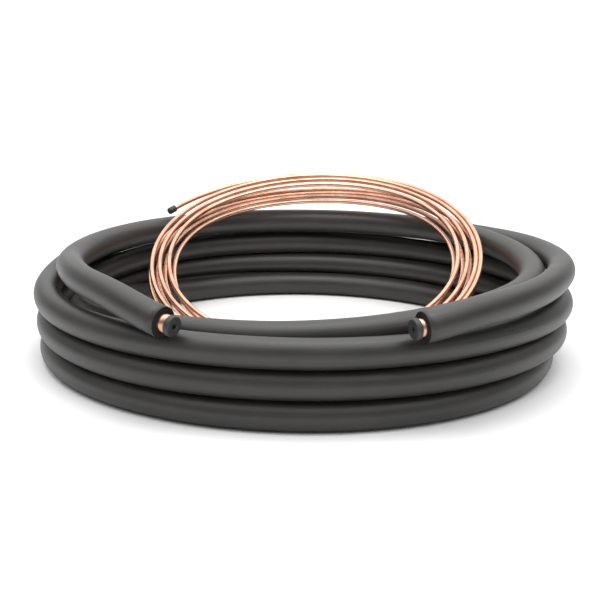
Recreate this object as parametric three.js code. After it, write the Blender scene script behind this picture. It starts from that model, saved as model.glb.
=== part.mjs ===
// Line set: a coil of foam-insulated suction line, with a looser coil of bare liquid line leaning in it.
// Millimetres, +Z up. The origin is on the floor, in the middle of the whole set's outline from above.
// +Y points to the back, where the liquid line leans over the insulated coil.
import * as THREE from "three";

// Suction line: annealed copper tube in a foam sleeve, both ends stopped with rubber plugs.
const SUCTION_OD = 28.575;
const SUCTION_WALL = 1.27;
const SLEEVE_WALL = 9.525;
const SLEEVE_CLEARANCE = 0.3;
const SLEEVE_BORE = SUCTION_OD + 2 * SLEEVE_CLEARANCE;
const SLEEVE_OD = SLEEVE_BORE + 2 * SLEEVE_WALL;
const TURN_GAP = 0.6;
const TURN_PITCH = SLEEVE_OD + TURN_GAP;
const STUB_RIGHT = 8;
const STUB_LEFT = 14;
const TRIM_RIGHT = 8;
const TRIM_LEFT = 4;

// Rubber plugs of the suction line.
const SEAT_GAP = 0.3;
const PLUG_OVERHANG = 2;
const PLUG_FLANGE_OD = SUCTION_OD + 2 * PLUG_OVERHANG;
const PLUG_FLANGE = 9;
const PLUG_RIM_RADIUS = 2.5;
const PLUG_HOLE = 9.5;
const PLUG_HOLE_DEPTH = 13;
const PLUG_STEM = 9;

// Liquid line: bare annealed copper tube, both ends capped.
const LIQUID_OD = 9.525;
const LIQUID_WALL = 0.8128;
const CAP_OD = 14.5;
const CAP_LENGTH = 17;
const CAP_FLOOR = 3;
const CAP_RIM_RADIUS = 1.5;
const LIQUID_STRAIGHT = 20;

// The liquid line's coil: its mean radius; how far right of the insulated coil's axis its middle is; how
// far back it reaches, in turn pitches; its sideways slope in degrees; and, where it leans unsupported at
// the back, how far it sags and by what part its layers spread. Its tilt follows from where it rests.
const RING_RADIUS = 305;
const RING_SIDE = 15;
const RING_REACH = 8.91;
const RING_LEAN = -3.3;
const RING_SAG = 28.5;
const RING_SPREAD = 0.8;
const LEAST_TILT = 8;
const MOST_TILT = 50;
const TILT_FINENESS = 0.01;

// Facets of the sections, and degrees of turn between two sections along a coil.
const SLEEVE_SIDES = 12;
const COPPER_SIDES = 8;
const LIQUID_SIDES = 8;
const LIQUID_BORE_SIDES = 6;
const TURNED_SEGMENTS = 24;
const RIM_SEGMENTS = 4;
const STEP = 15;
const SLEEVE_SECTION = { diameter: SLEEVE_OD, sides: SLEEVE_SIDES };
const SLEEVE_BORE_SECTION = { diameter: SLEEVE_BORE, sides: COPPER_SIDES };
const SUCTION_SECTION = { diameter: SUCTION_OD, sides: COPPER_SIDES };
const SUCTION_BORE_SECTION = { diameter: SUCTION_OD - 2 * SUCTION_WALL, sides: COPPER_SIDES };
const LIQUID_SECTION = { diameter: LIQUID_OD, sides: LIQUID_SIDES };
const LIQUID_BORE_SECTION = { diameter: LIQUID_OD - 2 * LIQUID_WALL, sides: LIQUID_BORE_SIDES };

// The suction line's way round, from its right end down the stack, then up the inside to its left end.
// Each row: degrees from the right side, seen from above and counted anticlockwise; distance from the
// coil's axis; height above the turn on the floor. Both are in turn pitches.
const SUCTION_WAY = [
  [-70, 10.05, 2.93],
  [-55, 9.85, 3.2],
  [-25, 9.55, 3.22],
  [0, 9.68, 3.1],
  [22, 9.9, 2.97],
  [45, 10.12, 2.84],
  [90, 10.4, 2.75],
  [135, 10.18, 2.62],
  [180, 9.78, 2.1],
  [225, 9.65, 2.02],
  [270, 9.4, 2.05],
  [315, 9.3, 2.02],
  [360, 9.7, 1.89],
  [405, 10, 1.8],
  [450, 9.75, 1.86],
  [495, 9.66, 1.71],
  [540, 9.65, 1.08],
  [585, 9.6, 1.01],
  [630, 9.3, 1.03],
  [675, 9.3, 1.01],
  [720, 9.5, 0.88],
  [765, 9.58, 0.85],
  [810, 9.62, 0.84],
  [855, 9.75, 0.7],
  [900, 9.6, 0.03],
  [945, 9.45, 0],
  [990, 9.25, 0],
  [1035, 9.1, 0],
  [1080, 9, 0],
  [1125, 9.05, 0],
  [1170, 9.05, 0],
  [1215, 8.8, 0.1],
  [1260, 8.6, 1.08],
  [1305, 8.45, 1.98],
  [1350, 8.4, 2.33],
  [1395, 8.45, 2.72],
  [1440, 8.62, 2.88],
  [1462, 8.85, 2.94],
  [1485, 9.1, 3],
  [1530, 9.35, 2.93],
  [1575, 9.15, 2.9],
  [1620, 8.9, 2.92],
  [1640, 8.9, 3.15],
  [1655, 9.2, 3.28],
  [1670, 9.6, 3.27],
  [1685, 10.12, 2.88],
];

// The liquid line's places in its bundle, first where its free end starts and then one for each turn:
// outward and up from the bundle's middle, in tube diameters. Each turn crosses to the next at the front.
const LIQUID_LAY = [
  [3.8, 0.6],
  [2.6, -1.15],
  [1, -1.15],
  [-0.7, -1.15],
  [-2.5, -1.15],
  [-1.6, 1.15],
  [0.2, 1.15],
  [1.9, 1.15],
  [3.1, 1.05],
];
const LIQUID_START = -94;
const LIQUID_END = 2666;
const CROSSING_START = 225;
const CROSSING_SPAN = 90;
const WANDER = 0.12;
const WANDER_RATE = 1.7;
const FLARE = 1.7;
const FLARE_SPAN = 50;

const FULL_TURN = 360;
const UP = new THREE.Vector3(0, 0, 1);
const LATHE_AXIS = new THREE.Vector3(0, 1, 0);
const TANGENT_STEP = 0.1;

const foam = new THREE.MeshStandardMaterial({ color: 0x3b3a38, roughness: 0.8, metalness: 0 });
const copper = new THREE.MeshStandardMaterial({ color: 0xd08a5c, roughness: 0.32, metalness: 1 });
const plugRubber = new THREE.MeshStandardMaterial({ color: 0x4a4b4c, roughness: 0.6, metalness: 0 });
const capRubber = new THREE.MeshStandardMaterial({ color: 0x1a1a1a, roughness: 0.55, metalness: 0 });

// A swept line's course, given as points with directions. Sections stand upright on it, so that a flat
// of each one faces the floor and the turns of a coil line up with their neighbours.
class UprightCourse extends THREE.Curve {
  constructor(points, directions) {
    super();
    this.points = points;
    this.directions = directions;
  }

  get steps() {
    return this.points.length - 1;
  }

  get chords() {
    return this.points.slice(1).map((point, i) => new THREE.Line3(this.points[i], point));
  }

  getPoint(t, target = new THREE.Vector3()) {
    const place = t * this.steps;
    const index = Math.min(Math.floor(place), this.steps - 1);
    return target.lerpVectors(this.points[index], this.points[index + 1], place - index);
  }

  getPointAt(t, target) {
    return this.getPoint(t, target);
  }

  computeFrenetFrames() {
    const tangents = this.directions;
    const normals = tangents.map((tangent) => UP.clone().projectOnPlane(tangent).normalize());
    const binormals = tangents.map((tangent, i) => tangent.clone().cross(normals[i]));
    return { tangents, normals, binormals };
  }

  // The same course with its first and last chord cut short.
  trimmed(atStart, atEnd) {
    const points = this.points.map((point) => point.clone());
    points[0].addScaledVector(this.chords[0].delta(new THREE.Vector3()).normalize(), atStart);
    points.at(-1).addScaledVector(this.chords.at(-1).delta(new THREE.Vector3()).normalize(), -atEnd);
    return new UprightCourse(points, this.directions);
  }

  // The same course with a straight length added at each end.
  lengthened(atStart, atEnd) {
    const first = this.points[0].clone().addScaledVector(this.directions[0], -atStart);
    const last = this.points.at(-1).clone().addScaledVector(this.directions.at(-1), atEnd);
    return new UprightCourse(
      [first, ...this.points, last],
      [this.directions[0], ...this.directions, this.directions.at(-1)],
    );
  }
}

function radians(degrees) {
  return THREE.MathUtils.degToRad(degrees);
}

// Course of a coil, sampled at equal turns of angle so that the corners of all turns line up.
function coilCourse(pointAt, start, end) {
  const count = Math.round((end - start) / STEP);
  const angles = Array.from({ length: count + 1 }, (_, i) => start + ((end - start) * i) / count);
  const directions = angles.map((angle) =>
    pointAt(angle + TANGENT_STEP).sub(pointAt(angle - TANGENT_STEP)).normalize(),
  );
  return new UprightCourse(angles.map(pointAt), directions);
}

// Smooth value of one column of a table at an angle: a cubic between rows, with even slopes at them.
function smoothValue(rows, column, angle) {
  const last = rows.length - 1;
  let i = rows.findIndex((row) => row[0] > angle) - 1;
  if (i < 0) {
    i = angle < rows[0][0] ? 0 : last - 1;
  }
  const slopeAt = (k) => {
    const before = rows[Math.max(k - 1, 0)];
    const after = rows[Math.min(k + 1, last)];
    return (after[column] - before[column]) / (after[0] - before[0]);
  };
  const span = rows[i + 1][0] - rows[i][0];
  const t = (angle - rows[i][0]) / span;
  const rise = t * t * (3 - 2 * t);
  const bendIn = span * slopeAt(i) * t * (1 - t) * (1 - t);
  const bendOut = span * slopeAt(i + 1) * t * t * (t - 1);
  return THREE.MathUtils.lerp(rows[i][column], rows[i + 1][column], rise) + bendIn + bendOut;
}

function suctionPoint(angle) {
  const reach = smoothValue(SUCTION_WAY, 1, angle) * TURN_PITCH;
  const level = Math.max(0, smoothValue(SUCTION_WAY, 2, angle));
  const height = level * TURN_PITCH + SLEEVE_OD / 2;
  return new THREE.Vector3(reach * Math.cos(radians(angle)), reach * Math.sin(radians(angle)), height);
}

// Place in the liquid line's bundle at an angle, in tube diameters.
function liquidPlace(angle) {
  const turn = (angle - CROSSING_START) / FULL_TURN + 1;
  const index = Math.floor(turn);
  const from = LIQUID_LAY[index];
  const to = LIQUID_LAY[index + 1];
  const crossed = THREE.MathUtils.smoothstep((turn - index) * FULL_TURN, 0, CROSSING_SPAN);
  const flare = FLARE * Math.max(0, 1 - (LIQUID_END - angle) / FLARE_SPAN) ** 2;
  const wander = WANDER * Math.sin(WANDER_RATE * radians(angle));
  return {
    outward: THREE.MathUtils.lerp(from[0], to[0], crossed) + flare + wander,
    up: THREE.MathUtils.lerp(from[1], to[1], crossed) - wander,
  };
}

// A point of the liquid line's coil before it is leant, with the coil's middle at the origin.
function liquidPoint(angle) {
  const place = liquidPlace(angle);
  const reach = RING_RADIUS + place.outward * LIQUID_OD;
  const atBack = Math.max(0, Math.sin(radians(angle))) ** 2;
  return new THREE.Vector3(
    reach * Math.cos(radians(angle)),
    reach * Math.sin(radians(angle)),
    place.up * LIQUID_OD * (1 + RING_SPREAD * atBack) - RING_SAG * atBack,
  );
}

// The liquid line's coil leant at a tilt in degrees: its back keeps its reach, its lowest turn is on the
// floor.
function leantCoil(tilt) {
  const pose = new THREE.Matrix4()
    .makeRotationFromEuler(new THREE.Euler(radians(tilt), radians(RING_LEAN), 0, "YXZ"))
    .setPosition(RING_SIDE, RING_REACH * TURN_PITCH - RING_RADIUS * Math.cos(radians(tilt)), 0);
  const coil = coilCourse((angle) => liquidPoint(angle).applyMatrix4(pose), LIQUID_START, LIQUID_END);
  const lowest = Math.min(...coil.points.map((point) => point.z)) - LIQUID_OD / 2;
  coil.points.forEach((point) => point.setZ(point.z - lowest));
  return coil;
}

// The liquid line's coil leant until it just clears the insulation.
function settledCoil(sleeve) {
  let low = LEAST_TILT;
  let high = MOST_TILT;
  while (high - low > TILT_FINENESS) {
    const tilt = (low + high) / 2;
    if (leastGap(leantCoil(tilt), LIQUID_SECTION, sleeve, SLEEVE_SECTION) < SEAT_GAP) {
      low = tilt;
    } else {
      high = tilt;
    }
  }
  return leantCoil(high);
}

// Half a standing section's width towards a direction, on a straight chord of its course.
function halfWidth(section, chord, direction) {
  const tangent = chord.delta(new THREE.Vector3()).normalize();
  const normal = UP.clone().projectOnPlane(tangent).normalize();
  const angle = Math.atan2(direction.dot(tangent.cross(normal)), direction.dot(normal));
  const facet = (2 * Math.PI) / section.sides;
  const offFlat = Math.abs(angle - facet * Math.round(angle / facet));
  return cornerRadius(section) * Math.cos(facet / 2 - offFlat);
}

// Least gap between two swept tubes: chord by chord, the distance between their axes less half of each
// section's width that way.
function leastGap(course, section, otherCourse, otherSection) {
  const near = new THREE.Vector3();
  const far = new THREE.Vector3();
  const corners = cornerRadius(section) + cornerRadius(otherSection);
  const otherChords = otherCourse.chords;
  let least = Infinity;
  for (const chord of course.chords) {
    for (const other of otherChords) {
      const apart = Math.sqrt(chord.distanceSqToLine3(other, near, far));
      if (apart - corners < least) {
        const direction = far.sub(near).normalize();
        const widths = halfWidth(section, chord, direction) + halfWidth(otherSection, other, direction);
        least = Math.min(least, apart - widths);
      }
    }
  }
  return least;
}

// Radius at the corners of a regular section whose flats lie on the circle of its diameter.
function cornerRadius(section) {
  return section.diameter / 2 / Math.cos(Math.PI / section.sides);
}

// Corners of such a section, one flat down.
function sectionCorners(section) {
  return Array.from({ length: section.sides }, (_, i) => {
    const angle = ((i + 0.5) * 2 * Math.PI) / section.sides;
    return new THREE.Vector2(Math.cos(angle), Math.sin(angle)).multiplyScalar(cornerRadius(section));
  });
}

function sweptTube(name, material, course, outer, bore) {
  const section = new THREE.Shape(sectionCorners(outer));
  section.holes.push(new THREE.Path(sectionCorners(bore)));
  const geometry = new THREE.ExtrudeGeometry(section, { steps: course.steps, extrudePath: course });
  const mesh = new THREE.Mesh(geometry, material);
  mesh.name = name;
  return mesh;
}

function roundedCorner(radius, height, rimRadius) {
  return Array.from({ length: RIM_SEGMENTS + 1 }, (_, i) => {
    const angle = (i / RIM_SEGMENTS) * (Math.PI / 2);
    return new THREE.Vector2(
      radius - rimRadius + rimRadius * Math.cos(angle),
      height - rimRadius + rimRadius * Math.sin(angle),
    );
  });
}

// A turned piece set on a tube's end: its axis leaves along the outward direction.
function turnedAtEnd(name, material, outline, end, outward) {
  const mesh = new THREE.Mesh(new THREE.LatheGeometry(outline, TURNED_SEGMENTS), material);
  mesh.name = name;
  mesh.quaternion.setFromUnitVectors(LATHE_AXIS, outward);
  mesh.position.copy(end).addScaledVector(outward, SEAT_GAP);
  return mesh;
}

// Stopper: a stem in the tube's bore, and a round-edged flange with a blind hole in its face.
function suctionPlug(name, end, outward) {
  const stemRadius = SUCTION_OD / 2 - SUCTION_WALL - SEAT_GAP;
  const outline = [
    new THREE.Vector2(0, -PLUG_STEM),
    new THREE.Vector2(stemRadius, -PLUG_STEM),
    new THREE.Vector2(stemRadius, 0),
    new THREE.Vector2(PLUG_FLANGE_OD / 2, 0),
    ...roundedCorner(PLUG_FLANGE_OD / 2, PLUG_FLANGE, PLUG_RIM_RADIUS),
    new THREE.Vector2(PLUG_HOLE / 2, PLUG_FLANGE),
    new THREE.Vector2(PLUG_HOLE / 2, PLUG_FLANGE - PLUG_HOLE_DEPTH),
    new THREE.Vector2(0, PLUG_FLANGE - PLUG_HOLE_DEPTH),
  ];
  return turnedAtEnd(name, plugRubber, outline, end, outward);
}

// Cup pushed over the liquid line's end.
function liquidCap(name, end, outward) {
  const boreRadius = cornerRadius(LIQUID_SECTION) + SEAT_GAP;
  const mouth = CAP_FLOOR - CAP_LENGTH;
  const outline = [
    new THREE.Vector2(0, 0),
    new THREE.Vector2(boreRadius, 0),
    new THREE.Vector2(boreRadius, mouth),
    new THREE.Vector2(CAP_OD / 2, mouth),
    ...roundedCorner(CAP_OD / 2, CAP_FLOOR, CAP_RIM_RADIUS),
    new THREE.Vector2(0, CAP_FLOOR),
  ];
  return turnedAtEnd(name, capRubber, outline, end, outward);
}

function suctionLine(sleeveCourse) {
  const tubeCourse = sleeveCourse.lengthened(STUB_RIGHT, STUB_LEFT);
  const line = new THREE.Group();
  line.add(
    sweptTube("insulation_sleeve", foam, sleeveCourse, SLEEVE_SECTION, SLEEVE_BORE_SECTION),
    sweptTube("suction_tube", copper, tubeCourse, SUCTION_SECTION, SUCTION_BORE_SECTION),
    suctionPlug("suction_plug_right", tubeCourse.points[0], tubeCourse.directions[0].clone().negate()),
    suctionPlug("suction_plug_left", tubeCourse.points.at(-1), tubeCourse.directions.at(-1)),
  );
  return line;
}

function liquidLine(coil) {
  const course = coil.lengthened(LIQUID_STRAIGHT, LIQUID_STRAIGHT);
  const line = new THREE.Group();
  line.add(
    sweptTube("liquid_tube", copper, course, LIQUID_SECTION, LIQUID_BORE_SECTION),
    liquidCap("liquid_cap_front", course.points[0], course.directions[0].clone().negate()),
    liquidCap("liquid_cap_back", course.points.at(-1), course.directions.at(-1)),
  );
  return line;
}

// Sets a group's outline, seen from above, about the origin.
function centreOnFloor(group) {
  const middle = new THREE.Box3().setFromObject(group, true).getCenter(new THREE.Vector3());
  group.position.set(-middle.x, -middle.y, 0);
  return group;
}

const wholeWay = coilCourse(suctionPoint, SUCTION_WAY[0][0], SUCTION_WAY.at(-1)[0]);
const sleeveCourse = wholeWay.trimmed(TRIM_RIGHT, TRIM_LEFT);
const lineSet = new THREE.Group();
lineSet.add(suctionLine(sleeveCourse), liquidLine(settledCoil(sleeveCourse)));

export default centreOnFloor(lineSet);
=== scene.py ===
"""Looks of a line set: foam-insulated suction line in a coil, and a bare liquid line leaning in it.

Lengths are in metres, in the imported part's frame: +Z up, the origin on the floor under the set's middle.
"""

import logging
import math
from dataclasses import dataclass, field
from enum import Enum
from typing import Callable, Sequence

import bpy
from mathutils import Euler, Matrix, Vector

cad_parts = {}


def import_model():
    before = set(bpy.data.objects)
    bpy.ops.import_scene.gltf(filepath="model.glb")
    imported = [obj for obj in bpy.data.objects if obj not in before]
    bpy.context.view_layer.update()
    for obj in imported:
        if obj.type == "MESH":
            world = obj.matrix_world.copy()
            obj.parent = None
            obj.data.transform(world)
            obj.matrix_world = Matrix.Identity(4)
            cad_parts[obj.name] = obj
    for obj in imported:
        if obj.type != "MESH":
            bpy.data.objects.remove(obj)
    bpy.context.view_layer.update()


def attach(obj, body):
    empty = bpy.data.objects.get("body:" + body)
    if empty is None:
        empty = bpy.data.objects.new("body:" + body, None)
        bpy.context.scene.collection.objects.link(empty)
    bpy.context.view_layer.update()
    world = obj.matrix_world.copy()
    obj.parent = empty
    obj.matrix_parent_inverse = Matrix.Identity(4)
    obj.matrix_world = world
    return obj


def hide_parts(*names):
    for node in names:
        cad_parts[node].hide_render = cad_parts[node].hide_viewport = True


MM = 0.001
BODY = "root"
UP = Vector((0, 0, 1))
FULL_TURN = 360

# Real trade sizes of the two lines, their foam and its fit.
SUCTION_OD = 28.575 * MM
SUCTION_WALL = 1.27 * MM
SLEEVE_WALL = 9.525 * MM
SLEEVE_CLEARANCE = 0.3 * MM
SLEEVE_BORE = SUCTION_OD + 2 * SLEEVE_CLEARANCE
SLEEVE_OD = SLEEVE_BORE + 2 * SLEEVE_WALL
TURN_GAP = 0.6 * MM
TURN_PITCH = SLEEVE_OD + TURN_GAP
LIQUID_OD = 9.525 * MM
LIQUID_WALL = 0.8128 * MM
SEAT_GAP = 0.3 * MM

# Where the insulated coil's axis meets the floor.
COIL_AXIS = Vector((0.271, -24.807, 0)) * MM

# The suction line's way round: degrees from the right side, then reach and level in turn pitches. It is
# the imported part's way, but the upper turns lie 1 to 2.5 mm lower at the back and sides, where soft foam
# rests on foam.
SUCTION_WAY = (
    (-70, 10.05, 2.93), (-55, 9.85, 3.2), (-25, 9.55, 3.22), (0, 9.68, 3.1), (22, 9.9, 2.97),
    (45, 10.12, 2.81), (90, 10.38, 2.7), (135, 10.18, 2.57), (180, 9.78, 2.06), (225, 9.65, 2.02),
    (270, 9.4, 2.05), (315, 9.3, 2.02), (360, 9.7, 1.85), (405, 10, 1.77), (450, 9.75, 1.83),
    (495, 9.66, 1.68), (540, 9.65, 1.06), (585, 9.6, 1.01), (630, 9.3, 1.03), (675, 9.3, 1.01),
    (720, 9.5, 0.88), (765, 9.58, 0.85), (810, 9.62, 0.84), (855, 9.75, 0.7), (900, 9.6, 0.03),
    (945, 9.45, 0), (990, 9.25, 0), (1035, 9.1, 0), (1080, 9, 0), (1125, 9.05, 0),
    (1170, 9.05, 0), (1215, 8.8, 0.1), (1260, 8.6, 1.08), (1305, 8.45, 1.98), (1350, 8.4, 2.33),
    (1395, 8.45, 2.72), (1440, 8.62, 2.88), (1462, 8.85, 2.94), (1485, 9.1, 3), (1530, 9.35, 2.93),
    (1575, 9.15, 2.9), (1620, 8.9, 2.92), (1640, 8.9, 3.15), (1655, 9.2, 3.28), (1670, 9.6, 3.27),
    (1685, 10.12, 2.88),
)

# The liquid line's places in its bundle, in tube diameters outward and up: its free start, then its turns.
LIQUID_LAY = (
    (3.8, 0.6), (2.6, -1.15), (1, -1.15), (-0.7, -1.15), (-2.5, -1.15), (-1.6, 1.15), (0.2, 1.15),
    (1.9, 1.15), (3.1, 1.05),
)

Point = Callable[[float], Vector]
Outline = Sequence[tuple[float, float]]
Colour = tuple[float, float, float]
Inputs = Sequence[tuple[str, float]]
Stops = Sequence[tuple[float, Colour]]


class LineEnd(Enum):
    """The two ends of a line, named by where they lie in the finished coil."""

    FIRST = "first"
    LAST = "last"


class Finish(Enum):
    """Names of the record's material slots."""

    FOAM = "foam"
    COPPER = "copper"
    PLUG = "plug_rubber"
    CAP = "cap_rubber"


def smooth_value(rows: Sequence[tuple[float, float, float]], column: int, angle: float) -> float:
    """Read one column of a route's table at an angle, along a cubic with even slopes at its rows.

    Args:
        rows: the table, with the angle in the first column.
        column: which column to read.
        angle: degrees along the route.

    Returns:
        The smooth value there.
    """
    last = len(rows) - 1
    index = next((i - 1 for i, row in enumerate(rows) if row[0] > angle), last - 1)
    index = max(index, 0)

    def slope(k: int) -> float:
        """Even slope at row k."""
        before, after = rows[max(k - 1, 0)], rows[min(k + 1, last)]
        return (after[column] - before[column]) / (after[0] - before[0])

    span = rows[index + 1][0] - rows[index][0]
    t = (angle - rows[index][0]) / span
    start, end = rows[index][column], rows[index + 1][column]
    risen = start + (end - start) * t * t * (3 - 2 * t)
    bend_in = span * slope(index) * t * (1 - t) ** 2
    bend_out = span * slope(index + 1) * t * t * (t - 1)
    return risen + bend_in + bend_out


def smoothstep(value: float, low: float, high: float) -> float:
    """Rise smoothly from 0 at low to 1 at high."""
    t = min(max((value - low) / (high - low), 0.0), 1.0)
    return t * t * (3 - 2 * t)


@dataclass
class Course:
    """A line's course: points with the direction of travel at each."""

    points: list[Vector]
    directions: list[Vector]

    @classmethod
    def along(cls, point_at: Point, start: float, end: float, step: float) -> "Course":
        """Sample a route at equal turns of angle.

        Args:
            point_at: the route's point at an angle in degrees.
            start: first angle.
            end: last angle.
            step: degrees between samples, at most.

        Returns:
            The sampled course.
        """
        count = math.ceil((end - start) / step)
        angles = [start + (end - start) * i / count for i in range(count + 1)]
        near = 0.1
        directions = [(point_at(a + near) - point_at(a - near)).normalized() for a in angles]
        return cls([point_at(a) for a in angles], directions)

    def lengthened(self, at_start: float, at_end: float) -> "Course":
        """Return the course with a straight length added at each end.

        Args:
            at_start: length added before the first point.
            at_end: length added after the last point.

        Returns:
            The longer course.
        """
        first = self.points[0] - self.directions[0] * at_start
        last = self.points[-1] + self.directions[-1] * at_end
        return Course(
            [first, *self.points, last],
            [self.directions[0], *self.directions, self.directions[-1]],
        )

    def end(self, which: LineEnd) -> tuple[Vector, Vector]:
        """Find one end of the course.

        Args:
            which: the end.

        Returns:
            The end's point and the direction that leaves it.
        """
        if which is LineEnd.FIRST:
            return self.points[0], -self.directions[0]
        return self.points[-1], self.directions[-1]

    def trimmed(self, at_start: float, at_end: float) -> "Course":
        """Return the course cut short at its ends.

        Args:
            at_start: length taken off the first step, and shorter than it.
            at_end: length taken off the last step, and shorter than it.

        Returns:
            The shorter course.
        """
        points = list(self.points)
        points[0] = points[0] + (points[1] - points[0]).normalized() * at_start
        points[-1] = points[-1] + (points[-2] - points[-1]).normalized() * at_end
        return Course(points, self.directions)

    def length(self) -> float:
        """Return the course's length."""
        return sum((b - a).length for a, b in zip(self.points, self.points[1:]))


@dataclass
class Wall:
    """Tube wall swept along a course, as a closed solid with square cut ends.

    The mesh carries a UV map in metres: along the line, and round the section.
    """

    course: Course
    outer: float
    bore: float
    sides: int
    bore_sides: int
    waver: Callable[[float, float], float] = field(default=lambda along, turn: 0.0)

    def ring(self, index: int, radius: float, sides: int, along: float, outside: bool) -> list[Vector]:
        """Place one ring of points round the course.

        Args:
            index: which point of the course.
            radius: the ring's radius.
            sides: points in the ring.
            along: distance from the line's start.
            outside: whether the skin's waver applies.

        Returns:
            The ring's points.
        """
        direction = self.course.directions[index]
        side = direction.cross(UP).normalized()
        rise = side.cross(direction)
        points = []
        for k in range(sides):
            turn = 2 * math.pi * k / sides
            reach = radius + (self.waver(along, turn) if outside else 0.0)
            offset = side * math.cos(turn) + rise * math.sin(turn)
            points.append(self.course.points[index] + offset * reach)
        return points

    def build(self, name: str) -> bpy.types.Object:
        """Build the wall: skin in the first material slot, cut ends and bore in the second.

        Args:
            name: the object's name.

        Returns:
            The new object, linked to the scene.
        """
        count = len(self.course.points)
        vertices: list[Vector] = []
        faces: list[tuple[int, ...]] = []
        uvs: list[tuple[float, float]] = []
        slots: list[int] = []
        along = [0.0]
        for a, b in zip(self.course.points, self.course.points[1:]):
            along.append(along[-1] + (b - a).length)

        def skin(radius: float, sides: int, outside: bool) -> list[int]:
            """Add one swept surface.

            Args:
                radius: its radius.
                sides: points in each of its rings.
                outside: whether it is the skin, and not the bore.

            Returns:
                The first vertex of each ring.
            """
            starts = []
            for i in range(count):
                starts.append(len(vertices))
                vertices.extend(self.ring(i, radius, sides, along[i], outside))
            girth = 2 * math.pi * radius
            for i in range(count - 1):
                for k in range(sides):
                    n = (k + 1) % sides
                    a, b = starts[i] + k, starts[i] + n
                    c, d = starts[i + 1] + n, starts[i + 1] + k
                    faces.append((a, b, c, d) if outside else (d, c, b, a))
                    low, high = girth * k / sides, girth * (k + 1) / sides
                    corners = [(along[i], low), (along[i], high), (along[i + 1], high), (along[i + 1], low)]
                    uvs.extend(corners if outside else corners[::-1])
                    slots.append(0 if outside else 1)
            return starts

        outer_rings = skin(self.outer / 2, self.sides, True)
        bore_rings = skin(self.bore / 2, self.bore_sides, False)
        ratio = self.sides // self.bore_sides
        for which in LineEnd:
            first = which is LineEnd.FIRST
            outer = outer_rings[0 if first else -1]
            inner = bore_rings[0 if first else -1]
            for k in range(self.bore_sides):
                arc = [outer + (k * ratio + j) % self.sides for j in range(ratio + 1)]
                back = [inner + (k + 1) % self.bore_sides, inner + k]
                loop = tuple(arc + back)
                faces.append(loop[::-1] if first else loop)
                uvs.extend((vertices[v].x, vertices[v].z) for v in faces[-1])
                slots.append(1)
        mesh = bpy.data.meshes.new(name)
        mesh.from_pydata(vertices, [], faces)
        layer = mesh.uv_layers.new(name="LineMap")
        layer.uv.foreach_set("vector", [x for uv in uvs for x in uv])
        mesh.polygons.foreach_set("material_index", slots)
        mesh.polygons.foreach_set("use_smooth", [len(face) == 4 for face in faces])
        mesh.update()
        return link(name, mesh)


def link(name: str, mesh: bpy.types.Mesh) -> bpy.types.Object:
    """Make an object of a mesh and link it to the scene.

    Args:
        name: the object's name.
        mesh: its mesh.

    Returns:
        The new object.
    """
    piece = bpy.data.objects.new(name, mesh)
    bpy.context.scene.collection.objects.link(piece)
    return piece


@dataclass
class Turned:
    """Closed turned solid, from an outline of radius and height pairs that starts and ends on the axis.

    Edges that turn by more than the crease, in degrees, stay sharp.
    """

    outline: Outline
    segments: int = 72
    crease: float = 40

    def build(self, name: str, seat: Vector, outward: Vector) -> bpy.types.Object:
        """Turn the outline and set it on a tube's end.

        Args:
            name: the object's name.
            seat: where the outline's height is nought.
            outward: the direction of its axis.

        Returns:
            The new object, linked to the scene.
        """
        vertices = [Vector((0, 0, self.outline[0][1]))]
        rings = []
        for radius, height in self.outline[1:-1]:
            rings.append(len(vertices))
            for k in range(self.segments):
                turn = 2 * math.pi * k / self.segments
                vertices.append(Vector((radius * math.cos(turn), radius * math.sin(turn), height)))
        top = len(vertices)
        vertices.append(Vector((0, 0, self.outline[-1][1])))
        faces: list[tuple[int, ...]] = []
        for k in range(self.segments):
            n = (k + 1) % self.segments
            faces.append((0, rings[0] + n, rings[0] + k))
            faces.extend((a + k, a + n, b + n, b + k) for a, b in zip(rings, rings[1:]))
            faces.append((rings[-1] + k, rings[-1] + n, top))
        mesh = bpy.data.meshes.new(name)
        mesh.from_pydata(vertices, [], faces)
        mesh.transform(outward.to_track_quat("Z", "Y").to_matrix().to_4x4())
        mesh.transform(Matrix.Translation(seat))
        mesh.shade_smooth()
        mesh.set_sharp_from_angle(angle=math.radians(self.crease))
        return link(name, mesh)


def rounded_corner(radius: float, height: float, rim: float, steps: int = 8) -> list[tuple[float, float]]:
    """Return the outline of a rounded outer edge, from the side up to the face."""
    turns = [math.pi / 2 * i / steps for i in range(steps + 1)]
    return [(radius - rim + rim * math.cos(t), height - rim + rim * math.sin(t)) for t in turns]


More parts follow.
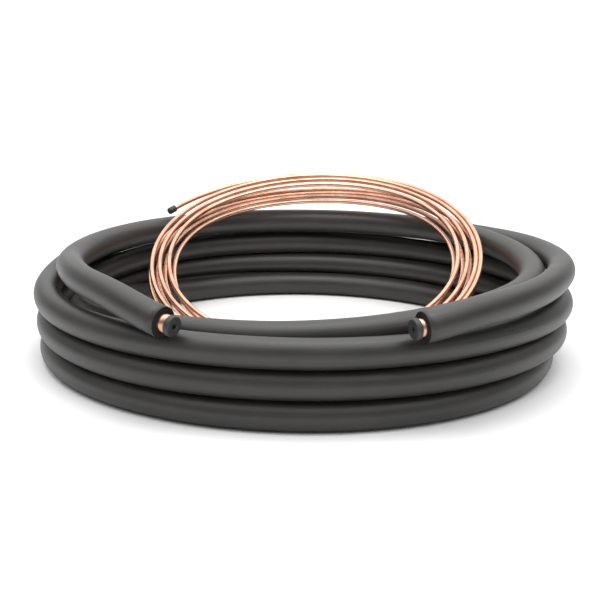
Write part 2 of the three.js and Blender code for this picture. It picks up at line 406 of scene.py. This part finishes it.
class Nodes:
    """Small helper that adds and joins the nodes of one tree."""

    def __init__(self, tree: bpy.types.NodeTree) -> None:
        """Keep the tree."""
        self.tree = tree

    def add(self, kind: str, **settings: object) -> bpy.types.Node:
        """Add a node; settings named after its sockets or properties are applied.

        Args:
            kind: the node's type.
            **settings: property values, or socket values with spaces as underscores.

        Returns:
            The new node.
        """
        node = self.tree.nodes.new(kind)
        for key, value in settings.items():
            socket = key.replace("_", " ").title()
            if hasattr(node, key):
                setattr(node, key, value)
            else:
                node.inputs[socket].default_value = value
        return node

    def join(self, start: bpy.types.NodeSocket, end: bpy.types.NodeSocket) -> None:
        """Link two sockets."""
        self.tree.links.new(start, end)

    def math(self, operation: str, first: object, second: object = None) -> bpy.types.NodeSocket:
        """Add a Math node.

        Args:
            operation: Blender's name of the operation.
            first: a socket or a number.
            second: a socket, a number or nothing.

        Returns:
            The result's socket.
        """
        node = self.add("ShaderNodeMath", operation=operation)
        for socket, value in zip(node.inputs, (first, second)):
            if isinstance(value, bpy.types.NodeSocket):
                self.join(value, socket)
            elif value is not None:
                socket.default_value = value
        return node.outputs[0]

    def ramp(self, value: bpy.types.NodeSocket, stops: Stops) -> bpy.types.NodeSocket:
        """Add a colour ramp.

        Args:
            value: what it reads.
            stops: places from 0 to 1, each with its colour.

        Returns:
            The colour's socket.
        """
        node = self.add("ShaderNodeValToRGB")
        elements = node.color_ramp.elements
        while len(elements) < len(stops):
            elements.new(0.5)
        for element, (place, colour) in zip(elements, stops):
            element.position = place
            element.color = (*colour, 1)
        self.join(value, node.inputs["Fac"])
        return node.outputs["Color"]

    def scaled(self, value: bpy.types.NodeSocket, factor: float, added: float) -> bpy.types.NodeSocket:
        """Return a value times a factor, with a number added.

        Args:
            value: the value's socket.
            factor: what it is multiplied by.
            added: what is added to the product.

        Returns:
            The result's socket.
        """
        result = self.math("MULTIPLY_ADD", value, factor)
        result.node.inputs[2].default_value = added
        return result

    def group(self, tree: bpy.types.NodeTree, **values: float) -> bpy.types.Node:
        """Add a node group and set its inputs, named with underscores for spaces.

        Args:
            tree: the group.
            **values: values of its inputs.

        Returns:
            The group's node.
        """
        node = self.add("ShaderNodeGroup", node_tree=tree)
        for key, value in values.items():
            node.inputs[key.replace("_", " ").title()].default_value = value
        return node

    def mix(self, share: bpy.types.NodeSocket, first: object, second: object) -> bpy.types.NodeSocket:
        """Mix two colours.

        Args:
            share: how much of the second shows.
            first: a socket or a colour.
            second: a socket or a colour.

        Returns:
            The mixed colour's socket.
        """
        node = self.add("ShaderNodeMix", data_type="RGBA")
        for socket, value in zip((node.inputs[0], node.inputs[6], node.inputs[7]), (share, first, second)):
            if isinstance(value, bpy.types.NodeSocket):
                self.join(value, socket)
            else:
                socket.default_value = (*value, 1)
        return node.outputs[2]


class SharedEffects:
    """Node groups that more than one material uses, each built once."""

    def __init__(self) -> None:
        """Build the groups."""
        self.drawn_lines = self._drawn_lines()
        self.mottle = self._mottle()

    @staticmethod
    def _group(name: str, inputs: Inputs, outputs: Sequence[str]) -> tuple[bpy.types.NodeTree, Nodes]:
        """Start a group of number sockets.

        Args:
            name: the group's name.
            inputs: names of its inputs, each with its usual value.
            outputs: names of its outputs.

        Returns:
            The group and a helper on its tree.
        """
        tree = bpy.data.node_groups.new(name, "ShaderNodeTree")
        for label, value in inputs:
            socket = tree.interface.new_socket(label, in_out="INPUT", socket_type="NodeSocketFloat")
            socket.default_value = value
        for label in outputs:
            tree.interface.new_socket(label, in_out="OUTPUT", socket_type="NodeSocketFloat")
        return tree, Nodes(tree)

    def _drawn_lines(self) -> bpy.types.NodeTree:
        """Fine lines that run along a drawn or extruded line, from the line map.

        Returns:
            The group, with Mask and Height outputs.
        """
        tree, nodes = self._group(
            "drawn_lines", (("Round", 900.0), ("Along", 3.0), ("Detail", 3.0)), ("Mask", "Height")
        )
        entry = nodes.add("NodeGroupInput")
        leave = nodes.add("NodeGroupOutput")
        place = nodes.add("ShaderNodeUVMap", uv_map="LineMap")
        split = nodes.add("ShaderNodeSeparateXYZ")
        nodes.join(place.outputs["UV"], split.inputs[0])
        stretched = nodes.add("ShaderNodeCombineXYZ")
        nodes.join(nodes.math("MULTIPLY", split.outputs["X"], entry.outputs["Along"]), stretched.inputs["X"])
        nodes.join(nodes.math("MULTIPLY", split.outputs["Y"], entry.outputs["Round"]), stretched.inputs["Y"])
        noise = nodes.add("ShaderNodeTexNoise", Scale=1.0)
        nodes.join(stretched.outputs[0], noise.inputs["Vector"])
        nodes.join(entry.outputs["Detail"], noise.inputs["Detail"])
        nodes.join(noise.outputs["Fac"], leave.inputs["Mask"])
        nodes.join(nodes.math("SUBTRACT", noise.outputs["Fac"], 0.5), leave.inputs["Height"])
        return tree

    def _mottle(self) -> bpy.types.NodeTree:
        """Soft uneven patches, and a fine grain, in the piece's own space.

        Returns:
            The group, with Patches and Grain outputs, each from 0 to 1.
        """
        tree, nodes = self._group(
            "mottle", (("Patch Scale", 14.0), ("Grain Scale", 900.0)), ("Patches", "Grain")
        )
        entry = nodes.add("NodeGroupInput")
        leave = nodes.add("NodeGroupOutput")
        place = nodes.add("ShaderNodeTexCoord")
        patches = nodes.add("ShaderNodeTexNoise", Detail=4.0, Roughness=0.6)
        grain = nodes.add("ShaderNodeTexNoise", Detail=2.0, Roughness=0.7)
        for noise, scale in ((patches, "Patch Scale"), (grain, "Grain Scale")):
            nodes.join(place.outputs["Object"], noise.inputs["Vector"])
            nodes.join(entry.outputs[scale], noise.inputs["Scale"])
        nodes.join(patches.outputs["Fac"], leave.inputs["Patches"])
        nodes.join(grain.outputs["Fac"], leave.inputs["Grain"])
        return tree


@dataclass(frozen=True)
class SurfaceFinish:
    """What every finish shares: a material with one shader, and its effects' groups."""

    name: str

    def start(self) -> tuple[bpy.types.Material, Nodes, bpy.types.Node]:
        """Make the material.

        Returns:
            The material, a helper on its tree, and its shader.
        """
        material = bpy.data.materials.new(self.name)
        material.use_nodes = True
        shader = material.node_tree.nodes["Principled BSDF"]
        return material, Nodes(material.node_tree), shader

    @staticmethod
    def bump(nodes: Nodes, height: bpy.types.NodeSocket, strength: float, depth: float,
             under: bpy.types.NodeSocket | None = None) -> bpy.types.NodeSocket:
        """Add a Bump node and return its normal.

        Args:
            nodes: the material's helper.
            height: the height's socket.
            strength: how strongly it shows.
            depth: the height's distance in metres.
            under: a normal that it adds to.

        Returns:
            The normal's socket.
        """
        bump = nodes.add("ShaderNodeBump", Strength=strength, Distance=depth)
        nodes.join(height, bump.inputs["Height"])
        if under is not None:
            nodes.join(under, bump.inputs["Normal"])
        return bump.outputs["Normal"]


@dataclass(frozen=True)
class FoamSkin(SurfaceFinish):
    """Closed skin of extruded elastomeric foam: dark warm grey, satin, faintly lined and scuffed."""

    name: str = "foam_skin"
    dark: Colour = (0.0135, 0.0125, 0.012)
    light: Colour = (0.029, 0.0258, 0.0236)
    dust: Colour = (0.09, 0.086, 0.083)
    patch_scale: float = 9.0
    grain_scale: float = 1400.0
    lines_round: float = 260.0
    lines_along: float = 2.2
    lines_share: float = 0.9
    lines_base: float = 0.56
    scuff_scale: float = 34.0
    scuff_start: float = 0.6
    scuff_gain: float = 1.6
    rough_low: float = 0.36
    rough_span: float = 0.18
    specular: float = 0.6

    def material(self, effects: SharedEffects) -> bpy.types.Material:
        """Build the material.

        Args:
            effects: the shared node groups.

        Returns:
            The finished material.
        """
        material, nodes, shader = self.start()
        mottle = nodes.group(effects.mottle, patch_scale=self.patch_scale, grain_scale=self.grain_scale)
        lines = nodes.group(effects.drawn_lines, round=self.lines_round, along=self.lines_along)
        tone = nodes.scaled(lines.outputs["Mask"], self.lines_share, self.lines_base)
        tone = nodes.math("MULTIPLY", tone, mottle.outputs["Patches"])
        base = nodes.ramp(tone, ((0.25, self.dark), (0.75, self.light)))
        scuff = nodes.add("ShaderNodeTexNoise", Scale=self.scuff_scale, Detail=6.0, Roughness=0.75)
        place = nodes.add("ShaderNodeTexCoord")
        nodes.join(place.outputs["Object"], scuff.inputs["Vector"])
        rubbed = nodes.math("SUBTRACT", scuff.outputs["Fac"], self.scuff_start)
        rubbed = nodes.math("MAXIMUM", nodes.math("MULTIPLY", rubbed, self.scuff_gain), 0.0)
        rubbed = nodes.math("MULTIPLY", rubbed, mottle.outputs["Grain"])
        base = nodes.mix(rubbed, base, self.dust)
        nodes.join(base, shader.inputs["Base Color"])
        rough = nodes.scaled(mottle.outputs["Patches"], self.rough_span, self.rough_low)
        nodes.join(rough, shader.inputs["Roughness"])
        normal = self.bump(nodes, lines.outputs["Height"], strength=0.35, depth=0.6 * MM)
        normal = self.bump(nodes, mottle.outputs["Grain"], strength=0.35, depth=0.25 * MM, under=normal)
        nodes.join(normal, shader.inputs["Normal"])
        shader.inputs["Specular IOR Level"].default_value = self.specular
        return material


@dataclass(frozen=True)
class CutFoam(SurfaceFinish):
    """Cut face of the foam: near black, with small open cells."""

    name: str = "cut_foam"
    dark: Colour = (0.006, 0.006, 0.006)
    light: Colour = (0.022, 0.021, 0.021)
    cell_scale: float = 1100.0

    def material(self) -> bpy.types.Material:
        """Build the material.

        Returns:
            The finished material.
        """
        material, nodes, shader = self.start()
        place = nodes.add("ShaderNodeTexCoord")
        cells = nodes.add("ShaderNodeTexVoronoi", Scale=self.cell_scale)
        nodes.join(place.outputs["Object"], cells.inputs["Vector"])
        nodes.join(nodes.ramp(cells.outputs["Distance"], ((0.1, self.dark), (0.7, self.light))),
                   shader.inputs["Base Color"])
        normal = self.bump(nodes, cells.outputs["Distance"], strength=0.7, depth=0.5 * MM)
        nodes.join(normal, shader.inputs["Normal"])
        shader.inputs["Roughness"].default_value = 0.9
        shader.inputs["Specular IOR Level"].default_value = 0.2
        return material


@dataclass(frozen=True)
class Copper(SurfaceFinish):
    """Bright annealed copper with fine drawing lines and faint tarnish."""

    name: str = "bright_copper"
    pale: Colour = (0.74, 0.455, 0.335)
    warm: Colour = (0.56, 0.30, 0.20)
    patch_scale: float = 22.0
    lines_round: float = 1500.0
    lines_along: float = 4.0
    rough_low: float = 0.16
    rough_span: float = 0.16

    def material(self, effects: SharedEffects) -> bpy.types.Material:
        """Build the material.

        Args:
            effects: the shared node groups.

        Returns:
            The finished material.
        """
        material, nodes, shader = self.start()
        mottle = nodes.group(effects.mottle, patch_scale=self.patch_scale)
        lines = nodes.group(effects.drawn_lines, round=self.lines_round, along=self.lines_along)
        nodes.join(nodes.ramp(mottle.outputs["Patches"], ((0.35, self.pale), (0.7, self.warm))),
                   shader.inputs["Base Color"])
        rough = nodes.scaled(lines.outputs["Mask"], self.rough_span, self.rough_low)
        nodes.join(rough, shader.inputs["Roughness"])
        normal = self.bump(nodes, lines.outputs["Height"], strength=0.25, depth=0.2 * MM)
        nodes.join(normal, shader.inputs["Normal"])
        shader.inputs["Metallic"].default_value = 1.0
        return material


@dataclass(frozen=True)
class MouldedRubber(SurfaceFinish):
    """Moulded rubber of a plug or cap, with a fine matt grain."""

    name: str = "moulded_rubber"
    dark: Colour = (0.018, 0.018, 0.019)
    light: Colour = (0.034, 0.034, 0.036)
    rough_low: float = 0.425
    rough_span: float = 0.15
    patch_scale: float = 120.0
    grain_scale: float = 2200.0

    def material(self, effects: SharedEffects) -> bpy.types.Material:
        """Build the material.

        Args:
            effects: the shared node groups.

        Returns:
            The finished material.
        """
        material, nodes, shader = self.start()
        mottle = nodes.group(effects.mottle, patch_scale=self.patch_scale, grain_scale=self.grain_scale)
        nodes.join(nodes.ramp(mottle.outputs["Patches"], ((0.3, self.dark), (0.7, self.light))),
                   shader.inputs["Base Color"])
        rough = nodes.scaled(mottle.outputs["Grain"], self.rough_span, self.rough_low)
        nodes.join(rough, shader.inputs["Roughness"])
        normal = self.bump(nodes, mottle.outputs["Grain"], strength=0.3, depth=0.2 * MM)
        nodes.join(normal, shader.inputs["Normal"])
        return material


@dataclass(frozen=True)
class PaleFloor(SurfaceFinish):
    """Studio floor: nearly white and matt."""

    name: str = "pale_floor"
    tone: Colour = (0.95, 0.95, 0.95)
    worn: float = 0.985

    def material(self) -> bpy.types.Material:
        """Build the material.

        Returns:
            The finished material.
        """
        material, nodes, shader = self.start()
        noise = nodes.add("ShaderNodeTexNoise", Scale=3.0)
        off = tuple(self.worn * x for x in self.tone)
        nodes.join(nodes.ramp(noise.outputs["Fac"], ((0.3, off), (0.7, self.tone))),
                   shader.inputs["Base Color"])
        shader.inputs["Roughness"].default_value = 0.9
        shader.inputs["Specular IOR Level"].default_value = 0.1
        return material


def stand_for(piece: bpy.types.Object, node: str) -> None:
    """Let a piece ride on the body and stand for its CAD node.

    Args:
        piece: the piece.
        node: the CAD node that it stands for.
    """
    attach(piece, BODY)
    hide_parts(node)


@dataclass(frozen=True)
class SoftSkin:
    """How the foam's skin stands off its true round: a swell with a slow and a quick waver.

    The rates are in radians for each metre along the line.
    """

    swell: float = 0.5 * MM
    slow: float = 0.16 * MM
    slow_rate: float = 7.3
    slow_phase: float = 1.3
    twist: float = 0.8
    twist_rate: float = 2.1
    quick: float = 0.06 * MM
    quick_rate: float = 31.0

    def waver(self, along: float, turn: float) -> float:
        """Return how far the skin stands off at one place.

        Args:
            along: distance from the line's start.
            turn: radians round the section.

        Returns:
            The distance outside the true round.
        """
        twisted = turn + self.twist * math.sin(self.twist_rate * along)
        slow = math.sin(self.slow_rate * along + self.slow_phase) * math.cos(twisted)
        quick = math.sin(self.quick_rate * along + 2 * turn)
        return self.swell + self.slow * slow + self.quick * quick


@dataclass
class SuctionLine:
    """Copper suction line in its foam sleeve, with a rubber plug in each end."""

    stub_right: float = 8 * MM
    stub_left: float = 14 * MM
    trim_right: float = 8 * MM
    trim_left: float = 4 * MM
    overhang: float = 2 * MM
    flange: float = 9 * MM
    rim: float = 2.5 * MM
    hole: float = 9.5 * MM
    hole_depth: float = 13 * MM
    stem: float = 9 * MM
    lip: float = 0.5 * MM
    step: float = 2.5

    def point(self, angle: float) -> Vector:
        """Return the line's middle at an angle of its route.

        Args:
            angle: degrees along the route.

        Returns:
            The middle there.
        """
        reach = smooth_value(SUCTION_WAY, 1, angle) * TURN_PITCH
        level = max(0.0, smooth_value(SUCTION_WAY, 2, angle))
        turn = math.radians(angle)
        height = level * TURN_PITCH + SLEEVE_OD / 2
        return COIL_AXIS + Vector((reach * math.cos(turn), reach * math.sin(turn), height))

    def plug_outline(self) -> list[tuple[float, float]]:
        """Draw the plug's outline: stem, flange with a rounded rim, and blind hole.

        Returns:
            Pairs of radius and height, from the stem's end to the hole's floor.
        """
        stem_radius = SUCTION_OD / 2 - SUCTION_WALL - SEAT_GAP
        flange_radius = SUCTION_OD / 2 + self.overhang
        hole = self.hole / 2
        lip = self.lip
        eased = 0.3 * lip
        return [
            (0, -self.stem),
            (stem_radius - lip, -self.stem),
            (stem_radius, -self.stem + lip),
            (stem_radius, 0),
            (flange_radius, 0),
            *rounded_corner(flange_radius, self.flange, self.rim),
            (hole + lip, self.flange),
            (hole + eased, self.flange - eased),
            (hole, self.flange - lip),
            (hole, self.flange - self.hole_depth),
            (0, self.flange - self.hole_depth),
        ]

    def build(self, effects: SharedEffects) -> list[bpy.types.Object]:
        """Build the sleeve, the tube and both plugs.

        Args:
            effects: the shared node groups.

        Returns:
            The four pieces.
        """
        whole = Course.along(self.point, SUCTION_WAY[0][0], SUCTION_WAY[-1][0], self.step)
        course = whole.trimmed(self.trim_right, self.trim_left)
        tube_course = course.lengthened(self.stub_right, self.stub_left)
        skin = Wall(course, SLEEVE_OD, SLEEVE_BORE, sides=48, bore_sides=24, waver=SoftSkin().waver)
        sleeve = skin.build("foam_sleeve")
        sleeve.data.materials.append(FoamSkin().material(effects))
        sleeve.data.materials.append(CutFoam().material())
        stand_for(sleeve, "insulation_sleeve")
        bore = SUCTION_OD - 2 * SUCTION_WALL
        tube = Wall(tube_course, SUCTION_OD, bore, sides=32, bore_sides=16).build("copper_suction_tube")
        copper = Copper(name="suction_copper", rough_low=0.24).material(effects)
        tube.data.materials.append(copper)
        tube.data.materials.append(copper)
        stand_for(tube, "suction_tube")
        rubber = MouldedRubber(name="plug_rubber").material(effects)
        plugs = []
        for which, side in ((LineEnd.FIRST, "right"), (LineEnd.LAST, "left")):
            end, outward = tube_course.end(which)
            seat = end + outward * SEAT_GAP
            plug = Turned(self.plug_outline()).build(f"rubber_plug_{side}", seat, outward)
            plug.data.materials.append(rubber)
            stand_for(plug, f"suction_plug_{side}")
            plugs.append(plug)
        logging.info("suction line: %.2f m of sleeve", course.length())
        return [sleeve, tube, *plugs]


@dataclass
class LiquidLine:
    """Bare copper liquid line in a loose coil, with a small rubber cap on each end."""

    radius: float = 305 * MM
    side: float = 15 * MM
    reach: float = 8.91 * TURN_PITCH
    tilt: float = 23.494
    lean: float = -3.3
    sag: float = 28.5 * MM
    spread: float = 0.8
    start: int = -94
    end: int = 2666
    crossing_start: float = 225
    crossing_span: float = 90
    wander: float = 0.12
    wander_rate: float = 1.7
    flare: float = 1.7
    flare_span: float = 50
    straight: float = 20 * MM
    cap_od: float = 14.5 * MM
    cap_length: float = 17 * MM
    cap_floor: float = 3 * MM
    cap_rim: float = 1.5 * MM
    cap_lip: float = 0.4 * MM
    step: float = 3.0
    height: float = field(init=False)

    def __post_init__(self) -> None:
        """Stand the coil on the floor."""
        self.height = self.foot()

    def place(self, angle: float) -> tuple[float, float]:
        """Find the line's place in its bundle.

        Args:
            angle: degrees along the route.

        Returns:
            The place outward and up, in tube diameters.
        """
        turn = (angle - self.crossing_start) / FULL_TURN + 1
        index = math.floor(turn)
        before, after = LIQUID_LAY[index], LIQUID_LAY[min(index + 1, len(LIQUID_LAY) - 1)]
        crossed = smoothstep((turn - index) * FULL_TURN, 0, self.crossing_span)
        flare = self.flare * max(0.0, 1 - (self.end - angle) / self.flare_span) ** 2
        wander = self.wander * math.sin(self.wander_rate * math.radians(angle))
        outward = before[0] + (after[0] - before[0]) * crossed + flare + wander
        return outward, before[1] + (after[1] - before[1]) * crossed - wander

    def leant(self, angle: float) -> Vector:
        """Return the line's middle in the leant coil, before the coil rises to stand on the floor.

        Args:
            angle: degrees along the route.

        Returns:
            The middle there, from the insulated coil's axis.
        """
        outward, up = self.place(angle)
        reach = self.radius + outward * LIQUID_OD
        turn = math.radians(angle)
        at_back = max(0.0, math.sin(turn)) ** 2
        layer = up * LIQUID_OD * (1 + self.spread * at_back) - self.sag * at_back
        tilted = Euler((math.radians(self.tilt), 0, 0)).to_matrix()
        leaning = Euler((0, math.radians(self.lean), 0)).to_matrix()
        back = self.reach - self.radius * math.cos(math.radians(self.tilt))
        flat = Vector((reach * math.cos(turn), reach * math.sin(turn), layer))
        return Vector((self.side, back, 0)) + leaning @ tilted @ flat

    def foot(self) -> float:
        """Return how far the leant coil has to rise to stand on the floor."""
        angles = range(self.start, self.end + 1)
        return LIQUID_OD / 2 - min(self.leant(angle).z for angle in angles)

    def point(self, angle: float) -> Vector:
        """Return the line's middle at an angle of its route."""
        return COIL_AXIS + self.leant(angle) + UP * self.height

    def cap_outline(self) -> list[tuple[float, float]]:
        """Draw the cap's outline: a cup over the tube's end.

        Returns:
            Pairs of radius and height, from the cup's floor round to its outer face.
        """
        bore = LIQUID_OD / 2 + SEAT_GAP
        mouth = self.cap_floor - self.cap_length
        return [
            (0, 0),
            (bore, 0),
            (bore, mouth),
            (self.cap_od / 2 - self.cap_lip, mouth),
            (self.cap_od / 2, mouth + self.cap_lip),
            *rounded_corner(self.cap_od / 2, self.cap_floor, self.cap_rim),
            (0, self.cap_floor),
        ]

    def build(self, effects: SharedEffects) -> list[bpy.types.Object]:
        """Build the tube and both caps.

        Args:
            effects: the shared node groups.

        Returns:
            The three pieces.
        """
        coil = Course.along(self.point, self.start, self.end, self.step)
        course = coil.lengthened(self.straight, self.straight)
        bore = LIQUID_OD - 2 * LIQUID_WALL
        tube = Wall(course, LIQUID_OD, bore, sides=24, bore_sides=12).build("copper_liquid_tube")
        copper = Copper(name="liquid_copper").material(effects)
        tube.data.materials.append(copper)
        tube.data.materials.append(copper)
        stand_for(tube, "liquid_tube")
        rubber = MouldedRubber(
            name="cap_rubber", dark=(0.012, 0.012, 0.012), light=(0.028, 0.027, 0.027), rough_low=0.375
        ).material(effects)
        caps = []
        for which, side in ((LineEnd.FIRST, "front"), (LineEnd.LAST, "back")):
            end, outward = course.end(which)
            cap = Turned(self.cap_outline()).build(f"rubber_cap_{side}", end + outward * SEAT_GAP, outward)
            cap.data.materials.append(rubber)
            stand_for(cap, f"liquid_cap_{side}")
            caps.append(cap)
        logging.info("liquid line: %.2f m of tube", course.length())
        return [tube, *caps]


@dataclass(frozen=True)
class Lamp:
    """Soft rectangular lamp, with its size in metres and its power in watts."""

    name: str
    size: tuple[float, float]
    power: float
    place: tuple[float, float, float]
    target: tuple[float, float, float]

    def hang(self) -> None:
        """Hang the lamp in its place, facing its target."""
        data = bpy.data.lights.new(self.name, "AREA")
        data.shape = "RECTANGLE"
        data.size, data.size_y = self.size
        data.energy = self.power
        lamp = bpy.data.objects.new(self.name, data)
        lamp.location = self.place
        facing = Vector(self.target) - Vector(self.place)
        lamp.rotation_euler = facing.to_track_quat("-Z", "Y").to_euler()
        bpy.context.scene.collection.objects.link(lamp)


@dataclass
class Studio:
    """Pale floor, soft lights and the camera at the photograph's viewing angle."""

    picture: float = 608
    focal_pixels: float = 1124
    sensor: float = 36
    distance: float = 42.62 * TURN_PITCH
    elevation: float = 14.11
    roll: float = 1.08
    aim: Vector = field(default_factory=lambda: Vector((-0.04, -0.97, 2.0)) * TURN_PITCH)
    floor_front: float = 40.0
    floor_back: float = 8.0
    floor_side: float = 24.0
    cove_radius: float = 4.0
    cove_steps: int = 24
    surround: float = 0.35
    lamps: tuple[Lamp, ...] = (
        Lamp("sky", size=(16.0, 20.0), power=1500, place=(0, 4, 6.5), target=(0, 4, 0)),
        Lamp("overhead", size=(2.2, 1.6), power=30, place=(0, -0.3, 2.4), target=(0, 0, 0.1)),
    )

    def camera(self) -> bpy.types.Object:
        """Set up the camera.

        Returns:
            The camera.
        """
        data = bpy.data.cameras.new("camera")
        data.sensor_width = self.sensor
        data.lens = self.focal_pixels / self.picture * self.sensor
        camera = bpy.data.objects.new("camera", data)
        bpy.context.scene.collection.objects.link(camera)
        tilt = math.radians(self.elevation)
        away = Vector((0, -math.cos(tilt), math.sin(tilt)))
        camera.location = COIL_AXIS + self.aim + away * self.distance
        look = (-away).to_track_quat("-Z", "Y").to_matrix()
        camera.rotation_euler = (look @ Matrix.Rotation(math.radians(self.roll), 3, "Z")).to_euler()
        data.clip_start = 0.05
        data.clip_end = 200
        bpy.context.scene.camera = camera
        return camera

    def floor(self) -> bpy.types.Object:
        """Lay the floor, which sweeps up behind the set without an edge.

        Returns:
            The floor.
        """
        profile = [(-self.floor_front, 0.0), (self.floor_back, 0.0)]
        for i in range(1, self.cove_steps + 1):
            turn = math.pi / 2 * i / self.cove_steps
            rise = self.cove_radius * (1 - math.cos(turn))
            profile.append((self.floor_back + self.cove_radius * math.sin(turn), rise))
        vertices = [(side * self.floor_side, y, z) for y, z in profile for side in (-1, 1)]
        faces = [(2 * i, 2 * i + 1, 2 * i + 3, 2 * i + 2) for i in range(len(profile) - 1)]
        mesh = bpy.data.meshes.new("floor")
        mesh.from_pydata(vertices, [], faces)
        mesh.shade_smooth()
        floor = link("floor", mesh)
        mesh.materials.append(PaleFloor().material())
        return floor

    def lights(self) -> None:
        """Light the set: a dim surround, a wide sheet of light high up, and a lamp over the set."""
        world = bpy.data.worlds.new("surround")
        world.use_nodes = True
        backdrop = world.node_tree.nodes["Background"]
        backdrop.inputs["Color"].default_value = (1, 1, 1, 1)
        backdrop.inputs["Strength"].default_value = self.surround
        bpy.context.scene.world = world
        for lamp in self.lamps:
            lamp.hang()

    def build(self) -> None:
        """Build the whole studio."""
        scene = bpy.context.scene
        scene.view_settings.view_transform = "Standard"
        self.floor()
        self.lights()
        self.camera()


def main() -> None:
    """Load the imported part, build its looks over it, and report each piece."""
    logging.basicConfig(level=logging.INFO, format="%(message)s")
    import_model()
    effects = SharedEffects()
    Studio().build()
    for assembly in (SuctionLine(), LiquidLine()):
        for piece in assembly.build(effects):
            logging.info("%s: %d faces", piece.name, len(piece.data.polygons))
    bpy.context.view_layer.update()


if __name__ == "__main__":
    main()
